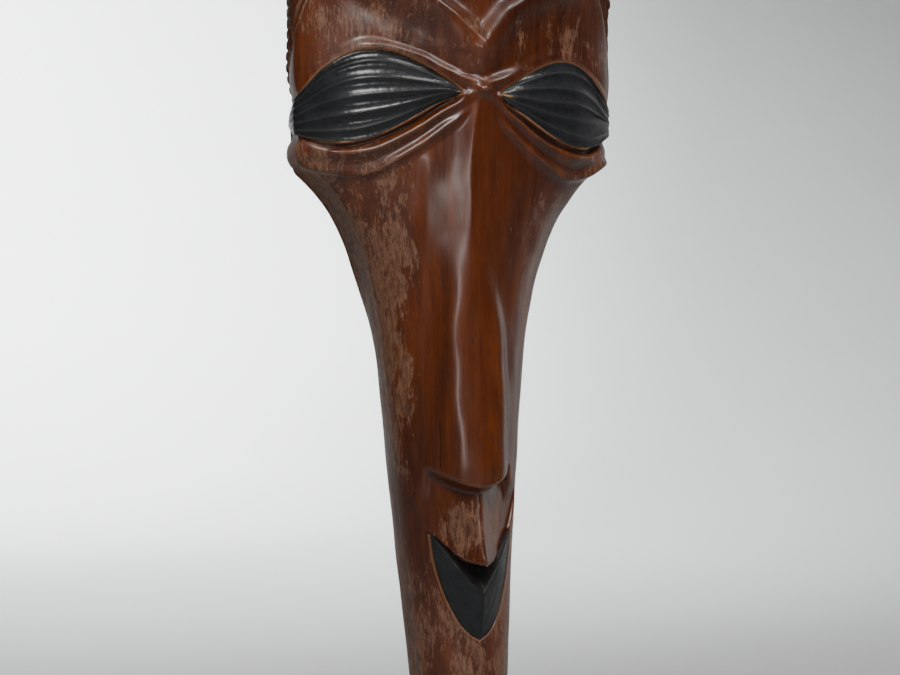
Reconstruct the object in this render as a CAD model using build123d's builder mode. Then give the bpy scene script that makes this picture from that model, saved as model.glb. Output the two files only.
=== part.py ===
"""Carved wooden wall mask: one hardwood block with black let-in eyes and lips, and a ring hanger.

Units are millimetres. +Z is up, -Y is the way the face looks, and the flat back lies in the wall
plane Y = 0. The origin is the hang point: the top of the hanger ring's opening, on the wall plane.
Heights along the carving are measured up from the tip of the chin and turned into Z by z_at().
"forward" is the distance in front of the carving's widest line. Left and right are the mask's own,
so left is +X.
"""

import os
from math import asin, cos, degrees, exp, pi, radians, sin, sqrt

from build123d import *

# ---------------------------------------------------------------- driving dimensions
TOTAL_HEIGHT = 620.0
HANG_HEIGHT = 592.0  # hang point above the chin tip

# the block
HEAD_HALF_WIDTH = 79.0
SHAFT_HALF_WIDTH = 22.7  # at SHAFT_HEIGHT, where the long chin leaves the mouth
SHAFT_HEIGHT = 175.0
SHAFT_TAPER = 0.079  # half width gained per millimetre of height
CHEEK_HEIGHT = 413.0  # corner where the face narrows under the eyes
CHEEK_SPREAD = 37.0  # how far the corner stands out from the line of the chin
CHEEK_FLARE = 27.0  # length over which the flare dies away
CROWN_HEIGHT = 78.0  # height of the dome on top of the head
TIP_HEIGHT = 18.0  # height of the rounded tip of the chin
SIDE_DEPTH_HEAD = 22.0  # back plane to the widest line
SIDE_DEPTH_SHAFT = 18.0
SIDE_DEPTH_TIP = 12.0
SIDE_DEPTH_RISE = (0.0, 90.0)  # heights between which it grows from tip to shaft
SIDE_DEPTH_SPREAD = (330.0, 430.0)  # and from shaft to head
END_DEPTH_SHARE = 0.4  # share of that depth left at the two rounded ends
BULGE_HEAD = 28.5  # forward reach of the brow
BULGE_SHAFT = 22.5  # forward reach of the chin at SHAFT_HEIGHT
BULGE_SLOPE = 0.045
SECTION_POWER_SHAFT = 2.0  # the chin's front is half an ellipse
SECTION_POWER_FACE = 1.4  # the face's front is a blunt wedge
FACE_START = (250.0, 400.0)  # heights over which the round front turns into the wedge
FACE_END = (470.0, 570.0)  # and back into a round forehead
OUTLINE_ANGLES = (90, 70, 48, 22, 0)  # where the outline's curve is fixed, from the side to the middle
BACK_TAPER_SHAFT = 0.80  # width at the back plane, as a share of the widest
BACK_TAPER_CHEEK = 0.97
BACK_TAPER_HEAD = 0.88
CHEEK_START = (300.0, 372.0)  # heights over which the shaft's taper turns into the cheeks'
CHEEK_END = (415.0, 450.0)  # and then into the head's

# the hair, carved a little proud of the block behind a slanting hairline
HAIR_LIFT = 1.8
HAIRLINE_SIDE = (20.0, 460.0)  # depth and height where the hair begins at the side
HAIRLINE_FRONT = (50.0, 545.0)  # depth and height where it crosses the forehead

# each eye: (distance from the middle of the face, lower lid height, upper lid height)
EYE_STATIONS = (
    (11.0, 443.2, 446.0),
    (20.0, 440.3, 452.2),
    (30.0, 433.7, 457.7),
    (40.0, 428.0, 462.2),
    (50.0, 423.5, 463.5),
    (60.0, 421.4, 461.4),
    (70.0, 422.4, 454.2),
    (76.0, 425.3, 443.6),
    (78.6, 429.0, 434.5),
)
EYE_FLUTES = 5
EYE_EDGE = 1.8  # edge of the eye above the wood round it
EYE_PROUD = 2.6  # crown of the eye above its edge
EYE_SEAT = 4.0  # depth of the eye's socket
EYE_CHORD_STEP = 2.0  # half the angle, in degrees, over which an eye plane is squared to the face
FLUTE_SHARE = 0.10  # depth of a flute, as a share of its width

# the nose: (height, half width at the root, half width of the front face, forward reach)
NOSE_SECTIONS = (
    (262.0, 21.5, 9.0, 37.6),
    (276.0, 21.5, 9.5, 38.6),
    (300.0, 19.5, 11.0, 35.8),
    (336.0, 17.0, 12.0, 32.3),
    (380.0, 15.5, 5.0, 29.8),
    (410.0, 14.5, 1.5, 29.4),
    (438.0, 14.0, 1.2, 29.8),
)
CORE_FORWARD = 5.0  # how far inside the block the added forms start
ROOT_SINK = 1.0  # their roots lie this far below the block's surface

# the ridge of the upper lip, below the nose: (height, half width, forward reach)
LIP_RIDGE_SECTIONS = ((266.0, 14.0, 32.6), (247.0, 14.0, 33.0), (228.5, 3.0, 37.6))

# each lip, at three distances from the middle: (forward, height) of the four corners
LIP_SECTIONS = (
    (0.0, ((24.0, 226.0), (31.0, 213.0), (22.8, 191.8), (14.0, 206.0))),
    (10.8, ((22.6, 233.5), (26.0, 227.0), (21.6, 204.5), (10.0, 216.0))),
    (19.6, ((16.8, 242.0), (17.4, 240.6), (16.0, 237.8), (14.2, 240.0))),
)

# the hollow in the back of the head
HOLLOW_TOP_RADIUS = 46.0
HOLLOW_TOP_HEIGHT = 490.0
HOLLOW_LOW_RADIUS = 17.0
HOLLOW_LOW_HEIGHT = 375.0
HOLLOW_DEPTH = 32.0
HOLLOW_FLOOR_ROUND = 11.0

# the recess for the hanger
RECESS_WIDTH = 32.0
RECESS_HEIGHT = 56.0
RECESS_DEPTH = 6.0
RECESS_TOP = 8.0  # recess top above the hang point
RECESS_CORNER = 6.0

# the hanger: a ring of wire held by a folded steel strap and two pan-head screws
WIRE_RADIUS = 1.2
RING_WIDTH = 20.0  # between wire centres
RING_HEIGHT = 17.0
RING_CORNER = 2.6  # bends beside the straight bar
RING_ROUND = 8.5  # the ring's rounded top
BAR_CLEARANCE = 0.06
STRAP_THICKNESS = 1.0
STRAP_WIDTH = 12.0
STRAP_LENGTH = 28.0  # from the ring's bar to the strap's rounded end
SCREW_RADIUS = 1.4
SCREW_LENGTH = 12.0
SCREW_HEAD_RADIUS = 2.8
SCREW_HEAD_HEIGHT = 1.5
SCREW_HEAD_ROUND = 0.7
SCREW_SLOT = (0.8, 0.6)  # width and depth
SCREW_DROPS = (8.5, 22.5)  # screw centres below the ring's bar

BAR_Z = WIRE_RADIUS - RING_HEIGHT
LOOP_RADIUS = WIRE_RADIUS + BAR_CLEARANCE + STRAP_THICKNESS
BAR_Y = LOOP_RADIUS - RECESS_DEPTH


def z_at(height):
    """Z of a point a height above the chin tip."""
    return height - HANG_HEIGHT


# ---------------------------------------------------------------- the block's own form
def smooth_step(value, low, high):
    """0 below low, 1 above high, and smooth between."""
    t = min(1.0, max(0.0, (value - low) / (high - low)))
    return t * t * (3 - 2 * t)


def end_rounding(height):
    """1 along the carving, falling to 0 along an arc at the crown and at the tip of the chin."""
    above = max(0.0, (height - TOTAL_HEIGHT + CROWN_HEIGHT) / CROWN_HEIGHT)
    below = max(0.0, 1 - height / TIP_HEIGHT)
    return sqrt(1 - above**2) * sqrt(1 - below**2)


def half_width(height):
    """Half the width of the carving at a height."""
    chin = SHAFT_HALF_WIDTH + SHAFT_TAPER * (height - SHAFT_HEIGHT)
    flare = CHEEK_SPREAD * exp((height - CHEEK_HEIGHT) / CHEEK_FLARE)
    return min(HEAD_HALF_WIDTH, chin + flare) * end_rounding(height)


def side_depth(height):
    """Back plane to the widest line."""
    tip = SIDE_DEPTH_TIP - SIDE_DEPTH_SHAFT
    head = SIDE_DEPTH_HEAD - SIDE_DEPTH_SHAFT
    depth = SIDE_DEPTH_SHAFT + tip * (1 - smooth_step(height, *SIDE_DEPTH_RISE))
    depth += head * smooth_step(height, *SIDE_DEPTH_SPREAD)
    return depth * (END_DEPTH_SHARE + (1 - END_DEPTH_SHARE) * end_rounding(height))


def face_bulge(height):
    """Forward reach of the middle of the face, without the nose."""
    return min(BULGE_HEAD, BULGE_SHAFT + BULGE_SLOPE * (height - SHAFT_HEIGHT)) * end_rounding(height)


def section_power(height):
    """Superellipse power of the block's front: lower is more pointed."""
    pointed = smooth_step(height, *FACE_START) * (1 - smooth_step(height, *FACE_END))
    return SECTION_POWER_SHAFT + (SECTION_POWER_FACE - SECTION_POWER_SHAFT) * pointed


def back_taper(height):
    """Width at the back plane, as a share of the widest."""
    cheek = (BACK_TAPER_CHEEK - BACK_TAPER_SHAFT) * smooth_step(height, *CHEEK_START)
    head = (BACK_TAPER_HEAD - BACK_TAPER_CHEEK) * smooth_step(height, *CHEEK_END)
    return BACK_TAPER_SHAFT + cheek + head


def front_y(height, forward):
    """Y of a point some way in front of the widest line."""
    return -(side_depth(height) + forward)


def surface_forward(x, height):
    """Forward reach of the block's front at a distance from the middle."""
    power = section_power(height)
    return face_bulge(height) * (1 - (x / half_width(height)) ** power) ** (1 / power)


def surface_point(angle, height, lift=0.0):
    """A point on the block's front. angle is 0 at the middle and 90 degrees at the widest line."""
    roundness = 2 / section_power(height)
    across = (half_width(height) + lift) * abs(sin(radians(angle))) ** roundness
    forward = (face_bulge(height) + lift) * abs(cos(radians(angle))) ** roundness
    return Vector(across, front_y(height, forward), z_at(height))


def block_outline(height, lift=0.0):
    """The line round one level of the block, with its straight back on the wall plane."""
    front = [surface_point(angle, height, lift) for angle in OUTLINE_ANGLES]
    right = [((half_width(height) + lift) * back_taper(height), 0.0)] + [(p.X, p.Y) for p in front]
    left = [(-x, y) for x, y in reversed(right[:-1])]
    Spline(*right, *left)
    Line(left[-1], right[0])


# levels crowd together where the outline turns quickly: the chin's tip, the cheeks and the crown
TIP_LEVELS = (0.4, 1.5, 3.5, 7.0, 11.0, TIP_HEIGHT)
CHIN_LEVELS = (50.0, 90.0, 130.0, SHAFT_HEIGHT, 215.0, 250.0, 280.0, 305.0, 325.0, 342.0)
CHEEK_LEVELS = (357.0, 369.0, 379.0, 388.0, 396.0, 403.0, 408.0, CHEEK_HEIGHT, 424.0, 438.0)
CROWN_LEVELS = (455.0, 480.0, 510.0, 542.0, 560.0, 575.0, 588.0)
TOP_LEVELS = (598.0, 606.0, 612.0, 616.5, 619.0, 619.8)


# ---------------------------------------------------------------- eyes
def eye_plane(distance, low, high):
    """Plane square to the face at a distance from its middle: x points outward and y points up."""
    middle = (low + high) / 2
    angle = degrees(asin((distance / half_width(middle)) ** (section_power(middle) / 2)))
    before = surface_point(angle - EYE_CHORD_STEP, middle)
    across = before - surface_point(angle + EYE_CHORD_STEP, middle)
    outward = Vector(0, 0, 1).cross(across)
    inward = outward.cross(Vector(0, 0, 1))
    return Plane(origin=surface_point(angle, middle), x_dir=outward, z_dir=inward)


def eye_outline(height):
    """Cross-section of an eye on its plane: flutes in front, square behind."""
    narrowing = min(1.0, height / EYE_SEAT / 2)
    half = height / 2
    seat = EYE_SEAT * narrowing
    shares = [flute / EYE_FLUTES for flute in range(EYE_FLUTES + 1)]
    crests = [Vector(EYE_EDGE + EYE_PROUD * narrowing * sin(pi * t), height * t - half) for t in shares]
    for start, end in zip(crests, crests[1:]):
        chord = end - start
        ThreePointArc(start, (start + end) / 2 + Vector(-chord.Y, chord.X) * FLUTE_SHARE, end)
    Polyline(crests[-1], (-seat, half), (-seat, -half), crests[0])


with BuildPart() as left_eye:
    for distance, lower, upper in EYE_STATIONS:
        with BuildSketch(eye_plane(distance, lower, upper)):
            with BuildLine():
                eye_outline(upper - lower)
            make_face()
    loft()

with BuildPart() as right_eye:
    mirror(left_eye.part, about=Plane.YZ)


# ---------------------------------------------------------------- lips
def lip_point(forward, height):
    """A corner of a lip section, on a plane square to X."""
    return (front_y(height, forward), z_at(height))


with BuildPart() as left_lip:
    for distance, corners in LIP_SECTIONS:
        with BuildSketch(Plane.YZ.offset(distance)):
            with BuildLine():
                Polyline(*[lip_point(*corner) for corner in corners], close=True)
            make_face()
    loft()

with BuildPart() as right_lip:
    mirror(left_lip.part, about=Plane.YZ)

# ---------------------------------------------------------------- hair
with BuildPart() as hair:
    for level in CROWN_LEVELS + TOP_LEVELS:
        with BuildSketch(Plane.XY.offset(z_at(level))):
            with BuildLine():
                block_outline(level, HAIR_LIFT)
            make_face()
    loft(ruled=True)
    split(
        bisect_by=Plane(
            origin=(0, -HAIRLINE_SIDE[0], z_at(HAIRLINE_SIDE[1])),
            x_dir=(1, 0, 0),
            z_dir=(0, HAIRLINE_FRONT[1] - HAIRLINE_SIDE[1], HAIRLINE_FRONT[0] - HAIRLINE_SIDE[0]),
        )
    )

# ---------------------------------------------------------------- hollow in the back
with BuildPart() as hollow:
    with BuildSketch(Plane.XZ):
        with Locations((0, z_at(HOLLOW_TOP_HEIGHT))):
            Circle(HOLLOW_TOP_RADIUS)
        with Locations((0, z_at(HOLLOW_LOW_HEIGHT))):
            Circle(HOLLOW_LOW_RADIUS)
        make_hull()
    extrude(amount=HOLLOW_DEPTH)
    fillet(hollow.faces().sort_by(Axis.Y)[0].edges(), HOLLOW_FLOOR_ROUND)

# ---------------------------------------------------------------- the carved block
with BuildPart() as face_block:
    for level in TIP_LEVELS + CHIN_LEVELS + CHEEK_LEVELS + CROWN_LEVELS + TOP_LEVELS:
        with BuildSketch(Plane.XY.offset(z_at(level))):
            with BuildLine():
                block_outline(level)
            make_face()
    loft(ruled=True)

    # nose: a tent at the bridge that widens into a flat-fronted wedge
    for level, root, front, forward in NOSE_SECTIONS:
        root_y = front_y(level, surface_forward(root, level) - ROOT_SINK)
        with BuildSketch(Plane.XY.offset(z_at(level))):
            with BuildLine():
                Polyline(
                    (root, front_y(level, CORE_FORWARD)),
                    (root, root_y),
                    (front, front_y(level, forward)),
                    (-front, front_y(level, forward)),
                    (-root, root_y),
                    (-root, front_y(level, CORE_FORWARD)),
                    close=True,
                )
            make_face()
    loft(ruled=True)

    # ridge of the upper lip
    for level, half, forward in LIP_RIDGE_SECTIONS:
        root_y = front_y(level, surface_forward(half, level) - ROOT_SINK)
        with BuildSketch(Plane.XY.offset(z_at(level))):
            with BuildLine():
                Polyline(
                    (half, front_y(level, CORE_FORWARD)),
                    (half, root_y),
                    (0, front_y(level, forward)),
                    (-half, root_y),
                    (-half, front_y(level, CORE_FORWARD)),
                    close=True,
                )
            make_face()
    loft(ruled=True)

    add(hair.part)
    for let_in in (left_eye, right_eye, left_lip, right_lip, hollow):
        add(let_in.part, mode=Mode.SUBTRACT)

    # recess for the hanger, with a pilot hole for each screw
    with BuildSketch(Plane.XZ):
        with Locations((0, RECESS_TOP - RECESS_HEIGHT / 2)):
            RectangleRounded(RECESS_WIDTH, RECESS_HEIGHT, RECESS_CORNER)
    extrude(amount=RECESS_DEPTH, mode=Mode.SUBTRACT)
    with BuildSketch(Plane.XZ.offset(RECESS_DEPTH)):
        with Locations(*[(0, BAR_Z - drop) for drop in SCREW_DROPS]):
            Circle(SCREW_RADIUS)
    extrude(amount=SCREW_LENGTH - STRAP_THICKNESS, mode=Mode.SUBTRACT)

# ---------------------------------------------------------------- hanger
with BuildPart() as hanger_strap:
    with BuildSketch(Plane.YZ):
        with Locations((BAR_Y, BAR_Z)):
            Circle(LOOP_RADIUS)
        with Locations((-RECESS_DEPTH, BAR_Z)):
            Rectangle(STRAP_THICKNESS, STRAP_LENGTH, align=(Align.MIN, Align.MAX))
        with Locations((BAR_Y, BAR_Z)):
            Circle(LOOP_RADIUS - STRAP_THICKNESS, mode=Mode.SUBTRACT)
    extrude(amount=STRAP_WIDTH / 2, both=True)
    fillet(hanger_strap.edges().filter_by(Axis.Y).group_by(Axis.Z)[0], STRAP_WIDTH / 3)
    with BuildSketch(Plane.XZ.offset(RECESS_DEPTH)):
        with Locations(*[(0, BAR_Z - drop) for drop in SCREW_DROPS]):
            Circle(SCREW_RADIUS)
    extrude(amount=-STRAP_THICKNESS, mode=Mode.SUBTRACT)

with BuildPart() as hanger_ring:
    with BuildLine(Plane.XZ.offset(-BAR_Y)):
        ring_path = FilletPolyline(
            (RING_WIDTH / 2, BAR_Z),
            (RING_WIDTH / 2, BAR_Z + RING_HEIGHT),
            (-RING_WIDTH / 2, BAR_Z + RING_HEIGHT),
            (-RING_WIDTH / 2, BAR_Z),
            radius=(RING_CORNER, RING_ROUND, RING_ROUND, RING_CORNER),
            close=True,
        )
    with BuildSketch(Plane(origin=ring_path @ 0, z_dir=ring_path % 0)):
        Circle(WIRE_RADIUS)
    sweep()

with BuildPart() as hanger_screws:
    with BuildSketch(Plane.XZ.offset(RECESS_DEPTH - STRAP_THICKNESS)):
        with Locations(*[(0, BAR_Z - drop) for drop in SCREW_DROPS]):
            Circle(SCREW_RADIUS)
    extrude(amount=SCREW_LENGTH)
    with BuildSketch(Plane.XZ.offset(RECESS_DEPTH - STRAP_THICKNESS)):
        with Locations(*[(0, BAR_Z - drop) for drop in SCREW_DROPS]):
            Circle(SCREW_HEAD_RADIUS)
    extrude(amount=-SCREW_HEAD_HEIGHT)
    fillet(hanger_screws.edges().group_by(Axis.Y)[-1], SCREW_HEAD_ROUND)
    with BuildSketch(Plane.XZ.offset(RECESS_DEPTH - STRAP_THICKNESS - SCREW_HEAD_HEIGHT)):
        with Locations(*[(0, BAR_Z - drop) for drop in SCREW_DROPS]):
            Rectangle(2 * SCREW_HEAD_RADIUS, SCREW_SLOT[0])
    extrude(amount=SCREW_SLOT[1], mode=Mode.SUBTRACT)

# ---------------------------------------------------------------- write one file for each piece
os.makedirs("parts", exist_ok=True)
face_block.part.label = "face_block"
export_step(face_block.part, "parts/face_block.step")
left_eye.part.label = "left_eye"
export_step(left_eye.part, "parts/left_eye.step")
right_eye.part.label = "right_eye"
export_step(right_eye.part, "parts/right_eye.step")
left_lip.part.label = "left_lip"
export_step(left_lip.part, "parts/left_lip.step")
right_lip.part.label = "right_lip"
export_step(right_lip.part, "parts/right_lip.step")
hanger_strap.part.label = "hanger_strap"
export_step(hanger_strap.part, "parts/hanger_strap.step")
hanger_ring.part.label = "hanger_ring"
export_step(hanger_ring.part, "parts/hanger_ring.step")
hanger_screws.part.label = "hanger_screws"
export_step(hanger_screws.part, "parts/hanger_screws.step")
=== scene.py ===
"""Looks of the carved wooden wall mask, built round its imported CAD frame.

Lengths are millimetres until a mesh is made, and heights run up from the tip of the chin. The
carved surface is laid out in two coordinates: "round", the distance along the surface from the
middle of the face, and "height". Carved lines are curves in those two coordinates.
"""
import math
from functools import partial

import bpy
import numpy as np
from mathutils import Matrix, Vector, kdtree


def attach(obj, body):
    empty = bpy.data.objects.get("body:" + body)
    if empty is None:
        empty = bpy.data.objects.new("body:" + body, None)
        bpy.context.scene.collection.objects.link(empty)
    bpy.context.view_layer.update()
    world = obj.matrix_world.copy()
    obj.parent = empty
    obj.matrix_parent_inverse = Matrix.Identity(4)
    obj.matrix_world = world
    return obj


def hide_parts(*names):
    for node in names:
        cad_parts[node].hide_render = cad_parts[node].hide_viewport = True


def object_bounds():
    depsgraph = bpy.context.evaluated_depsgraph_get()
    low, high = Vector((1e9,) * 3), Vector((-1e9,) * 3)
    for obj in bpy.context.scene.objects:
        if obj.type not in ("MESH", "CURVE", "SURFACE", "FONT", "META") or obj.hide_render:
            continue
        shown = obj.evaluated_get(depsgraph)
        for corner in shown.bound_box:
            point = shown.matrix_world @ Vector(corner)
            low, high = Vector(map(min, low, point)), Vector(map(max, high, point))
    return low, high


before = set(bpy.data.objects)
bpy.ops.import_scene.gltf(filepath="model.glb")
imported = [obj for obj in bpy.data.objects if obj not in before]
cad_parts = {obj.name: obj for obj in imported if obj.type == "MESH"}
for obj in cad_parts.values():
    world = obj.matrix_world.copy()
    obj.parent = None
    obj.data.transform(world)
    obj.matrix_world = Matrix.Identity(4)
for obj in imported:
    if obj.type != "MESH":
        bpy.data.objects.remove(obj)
cad_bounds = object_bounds()
RNG = np.random.default_rng(7)

# --- the block's form
HANG = 592.0  # height of the frame's origin, where the mask hangs
TOP, CROWN = 618.2, 542.0  # highest point, and where the head begins to round over
TIP, TIP_ROUND = 0.45, 18.0  # lowest point, and where the chin begins to round off
HEAD_HALF = 80.6
BRIDGE = 440.0  # height whose section turns widths into distances round
CHIN, CHIN_HALF, CHIN_BULGE = 175.0, 22.7, 22.5  # a height, half width and bulge
CHEEK, CHEEK_FLARE, FLARE_LENGTH = 413.0, 37.0, 27.0  # how the chin flares out into the cheeks


def smooth(value, low, high):
    """0 below low, 1 above high and an eased step between them."""
    t = np.clip((value - low) / (high - low), 0.0, 1.0)
    return t * t * (3 - 2 * t)


def soft_max(a, b, k):
    """The larger of two values, rounded over where they are within about k."""
    return 0.5 * (a + b + np.sqrt((a - b) ** 2 + k * k))


def end_rounding(h):
    """Share of the full section that is left where the crown and the tip round over."""
    above = np.clip((h - CROWN) / (TOP - CROWN), 0, 1)
    below = np.clip(1 - (h - TIP) / (TIP_ROUND - TIP), 0, 1)
    return np.sqrt(1 - above**2) * np.sqrt(1 - below**2)


def half_width(h):
    """Half the width, which flares from the chin into the cheeks."""
    flare = CHEEK_FLARE * np.exp(np.minimum(h - CHEEK, 60.0) / FLARE_LENGTH)
    wide = CHIN_HALF + 0.079 * (h - CHIN) + flare
    return -soft_max(-wide, -HEAD_HALF, 2.0) * end_rounding(h)


def side_depth(h):
    """Depth of the sides, from the flat back forward to the widest line."""
    depth = 18.0 - 6.0 * (1 - smooth(h, 0, 90)) + 4.0 * smooth(h, 330, 430)
    return depth * (0.4 + 0.6 * end_rounding(h))


def bulge(h):
    """How far the middle of the face stands forward of the widest line."""
    return np.minimum(28.5, CHIN_BULGE + 0.045 * (h - CHIN)) * end_rounding(h)


def power(h):
    """Exponent of the section's curve: 2 is an ellipse, and less is more pointed."""
    return 2 - 0.6 * smooth(h, 250, 400) * (1 - smooth(h, 470, 570))


def back_share(h):
    """Width of the flat back as a share of the full width."""
    cheek = 0.18 * smooth(h, 316, 366) - 0.08 * smooth(h, 407, 415.5)
    return 0.74 + 0.10 * smooth(h, 190, 300) + cheek - 0.09 * smooth(h, 424, 456)


def run_length(line):
    """Distance along a line at each of its points."""
    return np.append(0, np.cumsum(np.hypot(*np.diff(line, axis=0).T)))


# the front's length round at each height, and the section's angle at even shares of it
TABLE_H = np.linspace(TIP, TOP, 311)
TABLE_U = np.linspace(0, 1, 161)
_angle = np.linspace(0, math.pi / 2, 721)
_theta = np.zeros((len(TABLE_H), len(TABLE_U)))
_reach = np.zeros(len(TABLE_H))
for _i, _h in enumerate(TABLE_H):
    _r = 2 / power(_h)
    _x = max(half_width(_h), 0.01) * np.sin(_angle) ** _r
    _f = max(bulge(_h), 0.01) * np.cos(_angle) ** _r
    _s = run_length(np.stack([_x, _f], -1))
    _reach[_i] = _s[-1]
    _theta[_i] = np.interp(TABLE_U * _s[-1], _s, _angle)


def front_length(h):
    """Distance round from the middle of the face to the widest line."""
    return np.interp(h, TABLE_H, _reach)


def side_length(h):
    """Distance from the widest line round to the flat back."""
    a = half_width(h) * (1 - back_share(h))
    b = side_depth(h)
    return math.pi / 2 * np.sqrt((a * a + b * b) / 2)


def section(p, h):
    """x and y of the plain block at a distance round (either sign) and a height."""
    sign = np.where(p < 0, -1.0, 1.0)
    p = np.abs(p)
    front = front_length(h)
    u = np.clip(p / front, 0, 1) * (len(TABLE_U) - 1)
    v = np.clip((h - TIP) / (TOP - TIP), 0, 1) * (len(TABLE_H) - 1)
    iu = np.minimum(u.astype(int), len(TABLE_U) - 2)
    iv = np.minimum(v.astype(int), len(TABLE_H) - 2)
    fu, fv = u - iu, v - iv
    theta = (
        (_theta[iv, iu] * (1 - fu) + _theta[iv, iu + 1] * fu) * (1 - fv)
        + (_theta[iv + 1, iu] * (1 - fu) + _theta[iv + 1, iu + 1] * fu) * fv
    )
    r = 2 / power(h)
    wide, side = half_width(h), side_depth(h)
    x = wide * np.sin(theta) ** r
    y = -(side + bulge(h) * np.abs(np.cos(theta)) ** r)
    beyond = p > front
    phi = math.pi / 2 * np.clip((p - front) / side_length(h), 0, 1)
    x = np.where(beyond, wide * (back_share(h) + (1 - back_share(h)) * np.cos(phi)), x)
    y = np.where(beyond, -side * (1 - np.sin(phi)), y)
    return sign * x, y


def plain_point(p, h):
    return np.stack([*section(p, h), h - HANG], -1)


def unit(v):
    return v / np.maximum(np.linalg.norm(v, axis=-1, keepdims=True), 1e-9)


def surface(p, h, e=0.4):
    """Point and outward normal of the plain block, as arrays with x, y and z last."""
    round_way = plain_point(p + e, h) - plain_point(p - e, h)
    up_way = plain_point(p, np.minimum(h + e, TOP)) - plain_point(p, np.maximum(h - e, TIP))
    return plain_point(p, h), unit(np.cross(round_way, up_way))


def block_forward(a, h):
    """Forward reach of the plain block's front at a distance from the middle."""
    n = power(h)
    t = np.clip(a / np.maximum(half_width(h), 0.01), 0, 1)
    return bulge(h) * (1 - t**n) ** (1 / n)


# --- curves
def through(points, per=14):
    """A smooth line through points."""
    p = np.array(points, float)
    p = np.vstack([2 * p[0] - p[1], p, 2 * p[-1] - p[-2]])
    t = np.linspace(0, 1, per, endpoint=False)[:, None]
    rows = []
    for a, b, c, d in zip(p[:-3], p[1:-2], p[2:-1], p[3:]):
        rows.append(0.5 * (2 * b + (c - a) * t + (2 * a - 5 * b + 4 * c - d) * t**2
                           + (3 * b - a - 3 * c + d) * t**3))
    return np.vstack(rows + [p[-2:-1]])


def eased(h, points):
    """A smooth value of height through (height, value) points."""
    line = through(points, 10)
    return np.interp(h, line[:, 0], line[:, 1])


_ref = np.linspace(0, front_length(BRIDGE), 400)
_ref_x = section(_ref, np.full(400, BRIDGE))[0]


def to_round(x):
    """Distance round of a distance from the middle, at the height of the eyes."""
    return np.interp(x, _ref_x, _ref) + np.maximum(np.asarray(x) - _ref_x[-1], 0)


def carved(points):
    """A smooth line on the face, given as (distance from the middle, height) points."""
    return through([(to_round(x), h) for x, h in points])


FAR = 1e3  # the distance given to points beyond a line's margin


def nearest(p, h, line, margin=14.0):
    """Distance to a line and the nearest point of it; points beyond the margin get FAR."""
    best = np.full(p.shape, FAR)
    at_p, at_h = p.copy(), h.copy()
    lo, hi = line.min(0) - margin, line.max(0) + margin
    idx = np.nonzero((p > lo[0]) & (p < hi[0]) & (h > lo[1]) & (h < hi[1]))
    if not len(idx[0]):
        return best, at_p, at_h
    q = np.stack([p[idx], h[idx]], -1)
    d_best = np.full(len(q), 1e6)
    n_best = q.copy()
    for a, b in zip(line[:-1], line[1:]):
        ab = b - a
        t = np.clip(((q - a) @ ab) / max(ab @ ab, 1e-9), 0, 1)
        c = a + t[:, None] * ab
        d = ((q - c) ** 2).sum(-1)
        closer = d < d_best
        d_best[closer] = d[closer]
        n_best[closer] = c[closer]
    best[idx] = np.sqrt(d_best)
    at_p[idx] = n_best[:, 0]
    at_h[idx] = n_best[:, 1]
    return best, at_p, at_h


def distance(p, h, line, margin=14.0):
    return nearest(p, h, line, margin)[0]


def line_height(line, p):
    """Height of a line that runs outward across the face."""
    return np.interp(p, line[:, 0], line[:, 1])


def inside(p, h, loop):
    """Whether points are inside a closed line."""
    result = np.zeros(p.shape, bool)
    for (ax, ay), (bx, by) in zip(loop, np.roll(loop, -1, 0)):
        if ay == by:
            continue
        crosses = ((ay > h) != (by > h)) & (p < (bx - ax) * (h - ay) / (by - ay) + ax)
        result ^= crosses
    return result


def bead(d, half):
    """1 on a line, falling away to either side of it."""
    return np.exp(-((d / half) ** 2))


# --- carved lines
# the eye: distance from the middle, height of the lower edge, height of the upper edge
EYE_STATIONS = (
    (9.4, 443.9, 444.5), (11.5, 442.8, 446.3), (20.0, 439.4, 452.0), (30.0, 433.7, 457.5),
    (40.0, 428.0, 461.8), (50.0, 423.6, 463.2), (60.0, 421.4, 461.0), (70.0, 421.8, 454.6),
    (76.5, 423.4, 447.0), (80.0, 424.6, 442.2), (82.6, 425.8, 438.6), (84.6, 427.4, 436.0),
    (85.6, 429.2, 433.8), (86.0, 430.6, 432.2),
)
EYE_LOW = through([(to_round(x), low) for x, low, high in EYE_STATIONS])
EYE_HIGH = through([(to_round(x), high) for x, low, high in EYE_STATIONS])
EYE_MIDDLE = np.column_stack([EYE_LOW[:, 0], 0.5 * (EYE_LOW[:, 1] + EYE_HIGH[:, 1])])
EYE_LOOP = np.vstack([EYE_HIGH, EYE_LOW[::-1]])
EYE_EDGE = np.vstack([EYE_LOOP, EYE_LOOP[:1]])
EYE_INNER, EYE_OUTER = EYE_LOW[0, 0], EYE_LOW[-1, 0]

# the two sides of the face differ a little: (distance round, shift in height) points
LEFT_LOWER = ((0, 0), (10, -0.8), (14, -2.4), (20, -3.0), (30, -2.8), (40, -2.0), (52, -0.8),
              (62, 0), (72, 1.2), (80, 3.2), (88, 4.4), (100, 2.0), (120, 0))
LEFT_UPPER = ((0, 0), (12, -0.3), (20, -1.0), (30, -1.4), (42, -1.9), (54, -2.2), (66, -2.8),
              (76, -3.0), (84, -1.4), (90, 0), (120, 0))
RIGHT_BROW = ((0, -1.0), (5, -2.2), (10, -3.6), (15, -3.6), (20, -3.0), (30, -2.2), (42, -1.4),
              (62, 0), (120, 0))


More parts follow.
